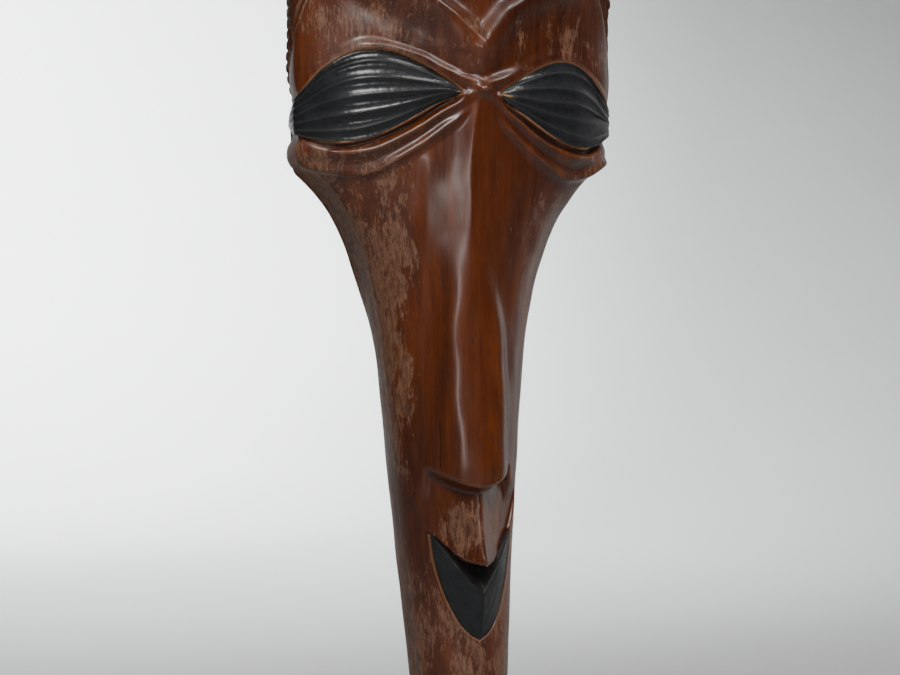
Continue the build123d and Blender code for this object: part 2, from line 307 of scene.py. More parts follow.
def side_shift(p, h):
    """Shift in height of the pattern's point (p, h) on the real face."""
    a = np.abs(p)

    def shift(points):
        return line_height(np.array(points, float), a)

    middle = line_height(EYE_MIDDLE, a)
    above = smooth(h, middle - 3, middle + 3)
    lower = shift(LEFT_LOWER) * (1 - above) * smooth(h, 392, 414)
    upper = shift(LEFT_UPPER) * above * (1 - smooth(h, 466, 490))
    brow = shift(RIGHT_BROW) * smooth(h, 460, 469) * (1 - smooth(h, 500, 525))
    return np.where(p > 0, lower + upper, brow)


def pattern_height(p, h):
    """Height in the common pattern of a point on the real face."""
    plain = h
    for _ in range(5):
        plain = h - side_shift(p, plain)
    return plain


LID = carved([(0, 446.5), (4, 448.6), (12.3, 451.4), (20.8, 455.4), (28, 459.5), (36.8, 463.4),
              (45.6, 465.6), (54.2, 465.2), (62, 462.5)])
GROOVE = carved([(10, 442.6), (20, 437.6), (30, 431.2), (44, 424.2), (60, 419.4), (70, 420.6),
                 (77, 423.4)])
UNDER_LID = carved([(0, 446), (4, 444.5), (11, 439.8), (20, 434.3), (30, 427.5), (45, 419.3),
                    (54, 417.0), (66, 416.4)])
SHELF = carved([(6, 437.5), (12, 431.5), (17.2, 428.5), (30.9, 418.5), (48.5, 408.4),
                (59.7, 407.2), (70.8, 409), (80.5, 412)])
BROW = carved([(0, 467), (3.7, 471), (8.2, 476), (13, 481.5), (19, 485.5), (25, 488.8), (33, 492),
               (42, 495.5), (52, 500), (62, 507)])
TEMPLE = through([(0, 541), (25, 537), (48, 525), (66, 508), (78, 489), (84, 474), (90, 461),
                  (96, 448), (103, 431), (110, 413), (118, 394)])
HAIRLINE = through([(0, 549.5), (28, 545), (54, 531), (73, 513), (85.5, 490), (90, 478),
                    (93, 466), (99, 453), (106, 436), (113, 418), (121, 399)])

# nose: height, half width at the root, half width of the front, forward reach, root softness
NOSE = (
    (255, 22.4, 13.4, 37.2, 0.9), (266, 22.4, 13.6, 37.9, 0.9), (276, 22.2, 14.0, 38.0, 1.1),
    (300, 21.2, 14.4, 35.8, 2.0), (336, 19.0, 13.4, 32.4, 2.4), (360, 17.4, 9.4, 31.2, 2.6),
    (380, 16.4, 5.0, 30.5, 2.6), (410, 15.8, 2.4, 30.4, 2.0), (438, 14.2, 0.9, 30.5, 1.6),
    (452, 14, 0.8, 28.6, 1.6),
)
NOSE_ROOT, NOSE_FRONT, NOSE_REACH, NOSE_SOFTNESS = (
    [(row[0], row[column]) for row in NOSE] for column in (1, 2, 3, 4))
NOSE_BOTTOM = 262.0
# the hand-carved nose leans to the mask's own right: sideways offset of its crest by height
NOSE_LEAN = ((222, -1.4), (262, -1.6), (300, -1.4), (336, -1.7), (360, -3.6), (385, -5.4),
             (410, -5.8), (428, -4.6), (440, -1.6), (446, 0), (470, 0))
# the wedge between nose and mouth: forward reach of its ridge, and half width at its folds
WEDGE_REACH = ((222, 35.5), (227.3, 36.9), (229.6, 37.9), (233, 36.6), (240, 34.3), (247, 33.2),
               (258, 32.5), (275, 32.2))
WEDGE_RADIUS = 1.6
FOLD = ((236, 18.9), (242.4, 20.4), (247, 22.4), (252, 24.4), (258, 26.2), (264, 27.2),
        (280, 27.6))
V_EDGE = through([(0, 227.2), (4, 228.3), (9.4, 231.2), (15, 236.6), (20.4, 242.4)])
LOW_EDGE = through([(0, 191.8), (4.5, 194.6), (9, 200), (12.6, 207.5), (15.3, 215), (18.5, 228),
                    (20.4, 242.4)])
MOUTH_LOOP = np.vstack([V_EDGE, LOW_EDGE[::-1]])
ROOT_SINK = 0.8  # how far the nose and the wedge start below the plain block


def wedge_front(a, side, h, plain):
    """Forward reach of the ridged wedge below the nose."""
    fold = eased(h, FOLD)
    outer = block_forward(fold, h) - ROOT_SINK * (1 - smooth(h, 243, 262))
    ridge = np.sqrt(side * side + WEDGE_RADIUS**2) - WEDGE_RADIUS
    crest = eased(h, WEDGE_REACH)
    slope = np.clip(ridge / (fold - WEDGE_RADIUS), 0, 1.3) ** 0.92
    wedge = crest - (crest - outer) * slope
    beside = smooth(h, 254, 266) * smooth(side, 18.0, 22.0)
    above_mouth = h > line_height(V_EDGE, a) - 0.02
    share = smooth(fold - a, -0.7, 1.3) * (1 - beside) * (h < 272) * above_mouth
    return plain + (wedge - plain) * share


def nose_front(side, h, plain):
    """Forward reach of the nose, with a crowned front on a soft root."""
    root, front, reach = eased(h, NOSE_ROOT), eased(h, NOSE_FRONT), eased(h, NOSE_REACH)
    root_reach = block_forward(root, h) - ROOT_SINK
    t = (side - front) / (root - front)
    corner = np.clip((4.8 + 3.2 * smooth(h, 335, 390)) / (root - front), 0.06, 0.62)
    centre = -front / (root - front)
    fall = 0.5 * (t + np.sqrt(t * t + corner**2) - centre - np.sqrt(centre * centre + corner**2))
    across = (side / np.maximum(front, 5.0)) ** 2
    crown = 2.2 * across / (1 + across)
    nose = reach - (reach - root_reach) * np.maximum(fall, 0) - crown
    with_nose = soft_max(plain, nose, eased(h, NOSE_SOFTNESS))
    return plain + (with_nose - plain) * (1 - smooth(h, 440, 456))


def central_reach(x, h):
    """Forward reach of the front with the nose and the wedge between nose and mouth."""
    plain = block_forward(np.abs(x), h)
    side = np.abs(x - eased(h, NOSE_LEAN))
    below = wedge_front(np.abs(x), side, h, plain)
    bottom = NOSE_BOTTOM + 9.0 * np.clip(side / 20.0, 0, 1.3) ** 2
    keep = smooth(h - bottom, -1.6, 2.2)
    return below + (nose_front(side, h, plain) - below) * keep


# --- the block's grid
STEP = 1.0
FRONT_HALF, SIDE_COUNT, BACK_COUNT = int(128 / STEP), int(24 / STEP), int(92 / STEP)
SNAP = 0.45 * STEP  # points this close to a carved edge are moved onto it
# heights with their spacing, closer where the carving is fine
LEVEL_BANDS = ((TIP_ROUND, 182, 2.4), (182, 245, 0.62), (245, 276, 0.85), (276, 395, 1.5),
               (395, 470, 0.85), (470, CROWN, 1.1))


def spaced(low, high, spacing):
    count = max(2, round((high - low) / spacing / STEP))
    return np.linspace(low, high, count, endpoint=False)


def block_levels():
    """Heights of the block's rows of points, from the tip to the crown."""
    tip_angles = np.radians(np.linspace(88.6, 0, int(20 / STEP), endpoint=False))
    tip = TIP + (TIP_ROUND - TIP) * (1 - np.sin(tip_angles))
    dome = CROWN + (TOP - CROWN) * np.sin(np.radians(np.linspace(0, 88.9, int(100 / STEP))))
    return np.concatenate([tip, *(spaced(*band) for band in LEVEL_BANDS), dome])


LEVELS = block_levels()


def snapped(p, h, line):
    """Moves the points next to a carved edge onto it, so that the edge is crisp."""
    d, near_p, near_h = nearest(np.abs(p), h, line, 6.0)
    close = d < SNAP
    return np.where(close, np.sign(p + 1e-12) * near_p, p), np.where(close, near_h, h), close


# --- relief
HAIR_FOOT = 392  # the hair's lowest height
KNOB_ROW, KNOB_PITCH = 5.0, 5.7  # spacing of the rows of knobs, and of the knobs in a row


def hair_seeds():
    """Centres of the hair's chiselled knobs, in rows up the head."""
    fine = np.linspace(HAIR_FOOT, TOP - 0.02, 900)
    run = run_length(np.stack([half_width(fine), fine], -1))
    seeds = []
    for row, at in enumerate(np.arange(0, run[-1], KNOB_ROW)):
        h = np.interp(at, run, fine)
        reach = front_length(h) + side_length(h)
        count = max(1, round(2 * reach / KNOB_PITCH))
        p = (np.arange(count) + 0.5 * (row % 2)) / count * 2 * reach - reach
        seeds.append(np.stack([p, np.full(count, h)], -1))
    seeds = np.vstack(seeds)
    seeds = seeds + RNG.normal(0, 0.45, seeds.shape)
    return seeds[:, 0], np.clip(seeds[:, 1], HAIR_FOOT, TOP - 0.02)


def knobs(points, wanted):
    """0 between the hair's knobs to 1 on their tops, for the wanted points."""
    p, h = hair_seeds()
    centres = surface(p, h)[0]
    tree = kdtree.KDTree(len(centres))
    for i, c in enumerate(centres):
        tree.insert(c, i)
    tree.balance()
    result = np.zeros(len(points))
    for i in np.nonzero(wanted)[0]:
        (_, _, first), (_, _, second) = tree.find_n(points[i], 2)
        result[i] = min(1.0, (second - first) / 2.6) * (1 - 0.021 * min(first, 5.0) ** 2)
    return 0.5 * result * (3 - result)


def brow_relief(a, h, left):
    """Brow ridges, the sunk panel over them and the ridge down to the bridge."""
    d = distance(a, h, BROW)
    over = h > line_height(BROW, a)
    tall, wide = np.where(left, 3.9, 4.8), np.where(left, 8.5, 10.5)
    ridge = tall * bead(d, np.where(over, 5.2, wide)) * (1 - 0.75 * smooth(a, 45, 78))
    panel = 1.5 * smooth(d, 0.5, 7.0) * (1 - smooth(h, 500, 530)) * (1 - smooth(a, 45, 70))
    middle = 1.3 * bead(a, 3.6) * smooth(h, 446, 453) * (1 - smooth(h, 465, 473))
    return ridge - np.where(over, panel, 0) + middle


def lid_relief(a, h, left):
    """The fold over each eye and the rim of the lower lid."""
    strength = 1 - 0.75 * left * smooth(a, 10, 26)
    d = distance(a, h, LID)
    fold = 2.1 * bead(d, 2.7) * (1 - 0.9 * smooth(a, 50, 68))
    furrow = 0.5 * bead(d - 4.8, 2.2) * (h > line_height(LID, a)) * (1 - smooth(a, 38, 60))
    under = 1.6 * bead(distance(a, h, UNDER_LID), 2.1) * (1 - 0.7 * smooth(a, 56, 74))
    return strength * (fold - furrow) + under


def shelf_relief(a, h, front):
    """The shelf under each eye, the drop below it and the hollow above."""
    d = distance(a, h, SHELF, 40.0)
    level = line_height(SHELF, a)
    under = h < level
    edge = 1.15 * bead(d, np.where(under, 1.3, 2.2))
    drop = 1.3 * smooth(d, 0.0, 4.5) * np.exp(-d / 26.0) * (1 - smooth(d, 16, 39))
    between = 0.5 * (line_height(UNDER_LID, a) + level)
    fade = smooth(a, 10, 24) * (1 - smooth(a, front - 4, front + 14))
    return smooth(a, 3, 16) * (edge - under * drop) - 0.9 * bead(h - between, 2.6) * fade


def outline_relief(a, h, front, left):
    """How the outline draws in a little beside the eye and under it."""
    deep, notch = np.where(left, 1.0, 1.8), np.where(left, 2.6, 3.0)
    level = np.where(left, 422.0, 425.6)
    beside = 0.6 * bead(h - 457, 9) - deep * bead(h - 440, 7) - notch * bead(h - level, 3.9)
    under = np.where(left, -1.5 * bead(h - 412, 8.0), 0.4 * bead(h - 411, 5.0))
    return smooth(a, front - 26, front - 12) * beside + smooth(a, front - 8, front + 4) * under


def front_relief(p, h):
    """Height of the face's carving, distance to the eye's edge, and whether in the eye."""
    a, left, front = np.abs(p), p > 0, front_length(h)
    h = pattern_height(p, h)
    relief = brow_relief(a, h, left) + lid_relief(a, h, left)
    relief += shelf_relief(a, h, front) + outline_relief(a, h, front, left)
    # the bridge, and a thin line along the nose's crest
    relief += 1.1 * bead(np.hypot(a, h - 444.0), 2.3)
    crest = smooth(h, 372, 392) * (1 - smooth(h, 432, 440))
    relief += 0.16 * bead(p - eased(h, NOSE_LEAN), 1.2) * crest
    # groove and rim round the eye
    groove = bead(distance(a, h, GROOVE), 1.35)
    relief -= 3.0 * groove * (1 - 0.5 * smooth(a, 66, 84)) * smooth(a, 8, 14)
    d_eye = distance(a, h, EYE_EDGE, 10.0)
    relief += bead(d_eye - 0.5, 1.1) * np.where(h < line_height(EYE_MIDDLE, a), 1.3, 0.75)
    return relief, d_eye, inside(a, h, EYE_LOOP) & (d_eye < FAR)


def hair_and_temple(p, h, points):
    """Height of the hair and of the ribs before it, how far it is hair, and its knobs."""
    a = np.abs(p)
    d_hair, d_rib = distance(a, h, HAIRLINE, 160.0), distance(a, h, TEMPLE, 160.0)

    def behind(line):
        return (a > np.interp(h, line[::-1, 1], line[::-1, 0])) | (h > line[0, 1])

    is_hair = behind(HAIRLINE)
    hair = smooth(np.where(is_hair, d_hair, -d_hair), -0.3, 1.2)
    share = np.clip(d_rib / np.maximum(d_rib + d_hair, 0.1), 0, 1)
    ribs = 0.55 * np.cos(2 * math.pi * (share * 2.5 + 0.5)) * smooth(share, 0, 0.12) - 0.25
    top = knobs(points.reshape(-1, 3), (hair > 0.05).reshape(-1)).reshape(p.shape)
    return np.where(behind(TEMPLE) & ~is_hair, ribs, 0) + hair * (0.15 + 1.25 * top), hair, top


def worn_areas(p, h):
    """Where handling has worn the finish, chiefly on the mask's own right."""
    a = np.abs(p)
    right = p < 0
    cheek = bead(h - 345, 85) * smooth(a, 20, 44) * np.where(right, 0.86, 0.55)
    lip = bead(h - 247, 13) * bead(a - 9, 9) * np.where(right, 1.0, 0.5)
    brow = 0.38 * bead(h - 474, 20) * np.where(right, 1.0, 0.8)
    chin = 0.66 * (1 - smooth(h, 190, 262))
    corner = 0.35 * bead(h - 408, 22) * smooth(a, 60, 80)
    return np.clip(cheek + lip + brow + chin + corner + 0.08, 0, 1)


def capsule(x, h, low, low_radius, high, high_radius):
    """Signed distance to two circles on the middle line and the sides that join them."""
    qx, qy = np.abs(x), h - low
    length = high - low
    b = (low_radius - high_radius) / length
    c = math.sqrt(1 - b * b)
    k = -b * qx + c * qy
    first = np.hypot(qx, qy) - low_radius
    last = np.hypot(qx, qy - length) - high_radius
    side = qx * c + qy * b - low_radius
    return np.where(k < 0, first, np.where(k > c * length, last, side))


def rounded_box(x, h, middle, half_x, half_h, corner):
    """Signed distance to a rounded rectangle on the middle line."""
    qx = np.abs(x) - half_x + corner
    qy = np.abs(h - middle) - half_h + corner
    outside = np.hypot(np.maximum(qx, 0), np.maximum(qy, 0))
    return outside + np.minimum(np.maximum(qx, qy), 0) - corner


HOLLOW_DEPTH, HOLLOW_MOST, HOLLOW_WALL, RECESS_DEPTH = 32.0, 31.8, 5.2, 6.0
hollow_edge = partial(capsule, low=375.0, low_radius=17.0, high=490.0, high_radius=46.0)
recess_edge = partial(rounded_box, middle=572.0, half_x=16.0, half_h=28.0, corner=6.0)


def back_points(x, h):
    """Points of the back, moved onto the nearest edge, and their depth."""
    e = 0.2
    for edge in (hollow_edge, recess_edge) * 2:
        d = edge(x, h)
        gx = (edge(x + e, h) - edge(x - e, h)) / (2 * e)
        gh = (edge(x, h + e) - edge(x, h - e)) / (2 * e)
        close = np.abs(d) < 0.62 * STEP
        x, h = np.where(close, x - d * gx, x), np.where(close, h - d * gh, h)
    inward = np.maximum(-hollow_edge(x, h), 0)
    gouge = np.sin(x * 0.55 + 1.7 * np.sin(h * 0.09)) * np.sin(h * 0.23 + 2.0 * np.sin(x * 0.11))
    depth = HOLLOW_DEPTH * (1 - np.exp(-inward / HOLLOW_WALL))
    depth = np.minimum(depth * (1 + 0.02 * gouge * smooth(inward, 1, 6)), HOLLOW_MOST)
    return x, h, np.where(recess_edge(x, h) < -1e-3, RECESS_DEPTH, depth)


# --- meshes
DRIFT = ((-40, 1.4), (60, 1.5), (120, 1.6), (160, 1.7), (186, 1.3), (210, 0.2), (240, -0.7),
         (285, -1.1), (326, -1.0), (365, -0.3), (400, 0), (480, 0), (560, 0), (640, 0))


def drift(h):
    """How far the long chin wanders sideways from a straight line."""
    return eased(h, DRIFT)


def add_object(name, data):
    obj = bpy.data.objects.new(name, data)
    bpy.context.scene.collection.objects.link(obj)
    return obj


def make_object(name, points, faces, attributes, uv=None):
    """A smooth-shaded mesh object from points in millimetres."""
    mesh = bpy.data.meshes.new(name)
    points = np.array(points)
    points[:, 0] += drift(points[:, 2] + HANG)
    mesh.from_pydata((points * 0.001).tolist(), [], faces)
    mesh.update()
    for key, values in attributes.items():
        layer = mesh.attributes.new(key, "FLOAT", "POINT")
        layer.data.foreach_set("value", np.asarray(values, np.float32))
    if uv is not None:
        layer = mesh.uv_layers.new(name="carving")
        index = np.zeros(len(mesh.loops), int)
        mesh.loops.foreach_get("vertex_index", index)
        layer.data.foreach_set("uv", np.asarray(uv, np.float32)[index].ravel())
    mesh.shade_smooth()
    return add_object(name, mesh)


def ring_faces(rows, columns):
    """Quads between closed rings of points, and fans to the two end points after them."""
    index = np.arange(rows * columns).reshape(rows, columns)
    beside = np.roll(index, -1, 1)
    faces = np.stack([index[:-1], beside[:-1], beside[1:], index[1:]], -1).reshape(-1, 4).tolist()
    first, last = rows * columns, rows * columns + 1
    for at, then in zip(range(columns), beside[0].tolist()):
        faces.append([first, then, at])
        faces.append([last, last - 1 - columns + at, last - 1 - columns + then])
    return faces


EYE_SOCKET = 3.2  # depth of the eyes' sockets under the plain block
LIP_SOCKET, LIP_FLOOR = 5.0, 17.0  # depth of the lips' socket, and the furthest its floor reaches
CENTRE_HALF = 30  # half width of the part that holds the nose, the wedge and the mouth


def front_grid():
    """Distance round and height of the points on the front and the sides."""
    front, side = front_length(LEVELS)[:, None], side_length(LEVELS)[:, None]
    share = np.linspace(-1, 1, 2 * FRONT_HALF + 1)
    side_share = (np.arange(SIDE_COUNT) + 1) / (SIDE_COUNT + 1)
    reach = front + side * side_share
    p = np.hstack([-reach[:, ::-1], share * front, reach])
    return p, np.repeat(LEVELS[:, None], p.shape[1], 1)


def snap_to_eyes(p, h):
    """Puts a row of grid points on the edge of each eye."""
    p, near_h, close = snapped(p, pattern_height(p, h), EYE_EDGE)
    return p, np.where(close, near_h + side_shift(p, near_h), h)


def snap_to_mouth(p, h):
    """Points of the plain block with a row on the mouth's edge, their normals and heights."""
    x = section(p, h)[0]
    near_x, near_h, close = snapped(x, h, MOUTH_LOOP)
    close &= (np.abs(x) < 26) & (h > 185) & (h < 250)
    edge_y = -(side_depth(near_h) + block_forward(np.abs(near_x), near_h))
    on_edge = np.stack([near_x, edge_y, near_h - HANG], -1)
    point, normal = surface(p, h)
    return np.where(close[..., None], on_edge, point), normal, np.where(close, near_h, h)


def carve_centre(point, h, on_front):
    """Carves nose, wedge and lip socket; gives the points in the mouth and on its low rim."""
    x = point[..., 0]
    a = np.abs(x)
    central = on_front & (a < CENTRE_HALF) & (h > 186) & (h < 458)
    plain = block_forward(a, h)
    d_mouth = distance(a, h, MOUTH_LOOP, 8.0)
    in_mouth = inside(a, h, MOUTH_LOOP) & on_front & (d_mouth > 0.05)
    reach = np.where(in_mouth, np.minimum(plain - LIP_SOCKET, LIP_FLOOR), central_reach(x, h))
    point[..., 1] -= np.where(central, (reach - plain) * (1 - smooth(a, 24, CENTRE_HALF)), 0)
    below_edge = h < line_height(V_EDGE, a) - 1.0
    return in_mouth, bead(d_mouth - 0.4, 0.9) * below_edge * on_front


def hand_marks(x, h):
    """The slow unevenness that a hand-held blade leaves."""
    broad = np.sin(x * 0.19 + h * 0.05) * np.sin(h * 0.117 + 1.3)
    return 0.14 * (broad + 0.6 * np.sin(x * 0.41 + 2.0) * np.sin(h * 0.21 + 0.4))


def back_grid():
    """Points of the flat back with its hollow and recess."""
    share = 1 - 2 * (np.arange(BACK_COUNT) + 0.5) / BACK_COUNT
    x = (half_width(LEVELS) * back_share(LEVELS))[:, None] * share
    x, h, depth = back_points(x, np.repeat(LEVELS[:, None], BACK_COUNT, 1))
    return np.stack([x, -depth, h - HANG], -1)


def curvature(grid):
    """Above 0 in a hollow and below 0 on an edge, over two sizes of neighbourhood."""
    def across(k):
        return np.roll(grid, k, 1), np.roll(grid, -k, 1)

    curve = np.zeros(grid.shape[:2])
    before, after = across(1)
    normal = unit(np.cross(after - before, np.gradient(grid, axis=0)))
    for k in (1, 2):
        padded = np.pad(grid, ((k, k), (0, 0), (0, 0)), mode="edge")
        above, below = padded[2 * k:], padded[:-2 * k]
        before, after = across(k)
        mean = (above + below + before + after) / 4
        size = (np.linalg.norm(above - below, axis=-1)
                + np.linalg.norm(before - after, axis=-1)) / 4
        curve += ((mean - grid) * normal).sum(-1) / np.maximum(size, 0.2) * 0.5
    return np.clip(curve, -0.6, 0.6)


def build_block():
    """The carved block, as rings round its front, sides and back."""
    p, h = snap_to_eyes(*front_grid())
    point, normal, h = snap_to_mouth(p, h)
    in_mouth, low_rim = carve_centre(point, h, np.abs(p) <= front_length(h))
    relief, d_eye, in_eye = front_relief(p, h)
    grown, hair, top = hair_and_temple(p, h, point)
    relief = relief + np.where(in_mouth, 0, 0.5 * low_rim) + grown
    relief += hand_marks(point[..., 0], h) * end_rounding(h) * (1 - hair)
    socket = in_eye & (d_eye > 0.06)
    point = point + normal * np.where(socket, -EYE_SOCKET, relief)[..., None]
    point[..., 1] = np.minimum(point[..., 1], -0.02)

    grid = np.concatenate([point, back_grid()], 1)
    rows, columns = grid.shape[:2]
    points = np.vstack([grid.reshape(-1, 3), grid[0].mean(0), grid[-1].mean(0)])

    def full(front_values, back_value=0.0):
        """Values for every point: one value over the back, and 0 at the two end points."""
        rest = np.full((rows, BACK_COUNT), back_value)
        return np.append(np.concatenate([front_values, rest], 1).ravel(), [0.0, 0.0])

    rim = np.maximum(np.where(socket, 0, bead(d_eye, 1.0)), np.where(in_mouth, 0, low_rim * 0.8))
    data = {
        "curve": np.append(curvature(grid).ravel(), [0, 0]),
        "rim": full(rim),
        "hair": full(hair),
        "gap": full(hair * (1 - top)),
        "worn": full(worn_areas(p, h), 0.3),
        "side": full(smooth(np.abs(p) - front_length(h), -5.0, 3.0), 1.0),
        "back": full(np.zeros_like(hair), 1.0),
    }
    return make_object("carved_block", points, ring_faces(rows, columns), data)


# --- eyes and lips
FLUTE_CRESTS = (0.0, 0.13, 0.33, 0.52, 0.71, 0.88, 1.0)  # shares of the way down an eye
EYE_UNDER, EYE_SINK = 12, 2.4  # points across an eye's underside, and its depth in the block
# half of a lip's crest and of its inside edge: distance from the middle, height, forward reach
LIP_CREST = through([(0, 213.0, 31.0), (5.4, 220.2, 28.7), (10.8, 227.2, 26.2),
                     (16.4, 235.4, 21.6), (20.1, 241.8, 17.9)], 10)
LIP_INSIDE = through([(0, 226.4, 24.0), (5.4, 229.0, 23.6), (10.8, 233.0, 22.4),
                      (16.4, 238.6, 19.6), (20.1, 242.2, 17.5)], 10)
INSIDE_POINTS, OUTSIDE_POINTS = 8, 22  # across a lip, up to its crest and on to its edge
SEAM = 0.04  # half the gap between the lips


def closed_strip(name, sections, uv, attributes):
    """A closed piece from a row of closed sections."""
    rows, columns = sections.shape[:2]
    points = np.vstack([sections.reshape(-1, 3), sections[0].mean(0), sections[-1].mean(0)])
    uv = np.vstack([uv.reshape(-1, 2), uv[0].mean(0), uv[-1].mean(0)])
    data = {key: np.append(values.ravel(), [0, 0]) for key, values in attributes.items()}
    return make_object(name, points, ring_faces(rows, columns), data, uv)


def volume(obj):
    mesh = obj.data
    mesh.calc_loop_triangles()
    tri = np.zeros(len(mesh.loop_triangles) * 3, int)
    mesh.loop_triangles.foreach_get("vertices", tri)
    co = np.zeros(len(mesh.vertices) * 3)
    mesh.vertices.foreach_get("co", co)
    a, b, c = co.reshape(-1, 3)[tri.reshape(-1, 3)].transpose(1, 0, 2)
    return float(np.einsum("ij,ij->i", a, np.cross(b, c)).sum() / 6)


def flute_points(per):
    """Shares of the way down the eye and across its flute, and the flute's width."""
    across, local, width = [], [], []
    for first, last in zip(FLUTE_CRESTS, FLUTE_CRESTS[1:]):
        t = np.linspace(0, 1, per, endpoint=False)
        across += list(first + (last - first) * t)
        local += list(t)
        width += [last - first] * per
    return np.array(across + [1.0]), np.array(local + [0.0]), np.array(width + [0.1])


def build_eye(name, side):
    """A fluted almond let into its socket."""
    left = side > 0
    along = np.linspace(0, 1, 150)
    along = 0.5 * (1 - np.cos(math.pi * along)) * 0.5 + along * 0.5
    p = EYE_INNER + (EYE_OUTER - EYE_INNER - (2.2 if left else 0.0)) * along
    high = line_height(EYE_HIGH, p)[:, None]
    tall = high - line_height(EYE_LOW, p)[:, None]
    across, local, width = flute_points(12)

    def placed(shares):
        """Points of the plain block across the almond, their normals and distances round."""
        way = np.repeat(p[:, None], shares.shape[1], 1)
        h = high - tall * shares
        return *surface(side * way, h + side_shift(side * way, h)), way

    v = across + 0.035 * np.sin(along * 5.2 + 0.6)[:, None] * np.sin(math.pi * across)
    point, normal, way = placed(v)
    calm = (1 - (0.95 if left else 0.72) * smooth(along, 0.55, 0.92))[:, None]
    crown = 2.9 * np.clip(tall / 9.0, 0, 1) * calm * np.sin(math.pi * across) ** 0.8
    flute = 0.13 * width * tall * (4 * local * (1 - local))
    fade = np.clip(np.minimum(along, 1 - along) / 0.05, 0, 1)[:, None]
    marks = 0.025 * np.sin(way * 1.9 + 9.0 * v) * np.sin(way * 0.7 + 31.0 * v)
    lift = 0.55 + crown - flute * (0.5 + 0.5 * fade) + marks
    top = point + normal * lift[..., None]

    under_v = np.linspace(1, 0, EYE_UNDER)[None, :]
    point, normal, under_way = placed(under_v)
    sections = np.concatenate([top, point - normal * EYE_SINK], 1)
    uv = np.concatenate([
        np.stack([way / 10, v * tall / 10], -1),
        np.stack([under_way / 10, under_v * tall / 10 + 20], -1),
    ], 1)
    long, wide = (9.5, 0.15) if left else (6.0, 0.13)
    masks = {
        # the crest mask carries a painted highlight along each flute's crest
        "crest": bead(np.minimum(local, 1 - local) * width * tall, 0.7),
        "edge": bead(np.minimum(across, 1 - across) * tall, 0.8),
        "bare": bead(way - EYE_INNER, long) * bead(v - 0.56, wide),
    }
    below = np.zeros((len(p), EYE_UNDER))
    data = {key: np.concatenate([mask, below], 1) for key, mask in masks.items()}
    return closed_strip(name, sections, uv, data)


def build_lip(name, side):
    """Half of the mouth, with a faceted crest."""
    count = 70
    t = np.linspace(0, 1, count)

    def at(line, run, share):
        return np.stack([np.interp(share, run, column) for column in line.T], -1)

    crest, inner = (at(line, np.linspace(0, 1, len(line)), t) for line in (LIP_CREST, LIP_INSIDE))
    run = run_length(LOW_EDGE)
    low = at(LOW_EDGE, run, t * run[-1] * 0.995)
    low = np.column_stack([low, block_forward(low[:, 0], low[:, 1]) + 0.25])
    span = np.linalg.norm(crest - low, axis=1)[:, None]

    inside_t = np.linspace(0, 1, INSIDE_POINTS, endpoint=False)
    outside_t = np.linspace(0, 1, OUTSIDE_POINTS)
    a = inner[:, None] * (1 - inside_t[:, None]) + crest[:, None] * inside_t[:, None]
    b = crest[:, None] * (1 - outside_t[:, None]) + low[:, None] * outside_t[:, None]
    a[..., 2] -= 0.05 * span * np.sin(math.pi * inside_t)
    b[..., 2] += 0.022 * span * np.sin(math.pi * outside_t**0.8)
    b[..., 2] += 0.05 * np.sin(outside_t * 19 + t[:, None] * 13) * np.sin(math.pi * outside_t)
    under = np.stack([low, inner], 1)
    under[..., 2] -= np.minimum(5.0, 0.6 + 0.3 * span)
    ring = np.concatenate([a, b, under], 1)
    y = -(side_depth(ring[..., 1]) + ring[..., 2])
    sections = np.stack([side * (ring[..., 0] + SEAM), y, ring[..., 1] - HANG], -1)

    down = np.concatenate([np.zeros(INSIDE_POINTS), outside_t, [1.2, 1.4]])
    uv = np.stack(np.broadcast_arrays(t[:, None] * 3, down * 2), -1)
    column = np.arange(ring.shape[1])
    edge = INSIDE_POINTS + OUTSIDE_POINTS
    spacing = span / OUTSIDE_POINTS
    hidden = (column < INSIDE_POINTS) | (column > edge)
    # painted highlight along the lip's crest
    crest_highlight = bead((column - INSIDE_POINTS) * spacing, 0.45) * smooth(t, -0.2, 0.1)[:, None]
    data = {
        "crest": crest_highlight,
        "edge": bead((column - edge + 1) * spacing, 0.6),
        "bare": np.zeros_like(crest_highlight),
        "inner": np.ones((count, 1)) * hidden,
    }
    return closed_strip(name, sections, uv, data)


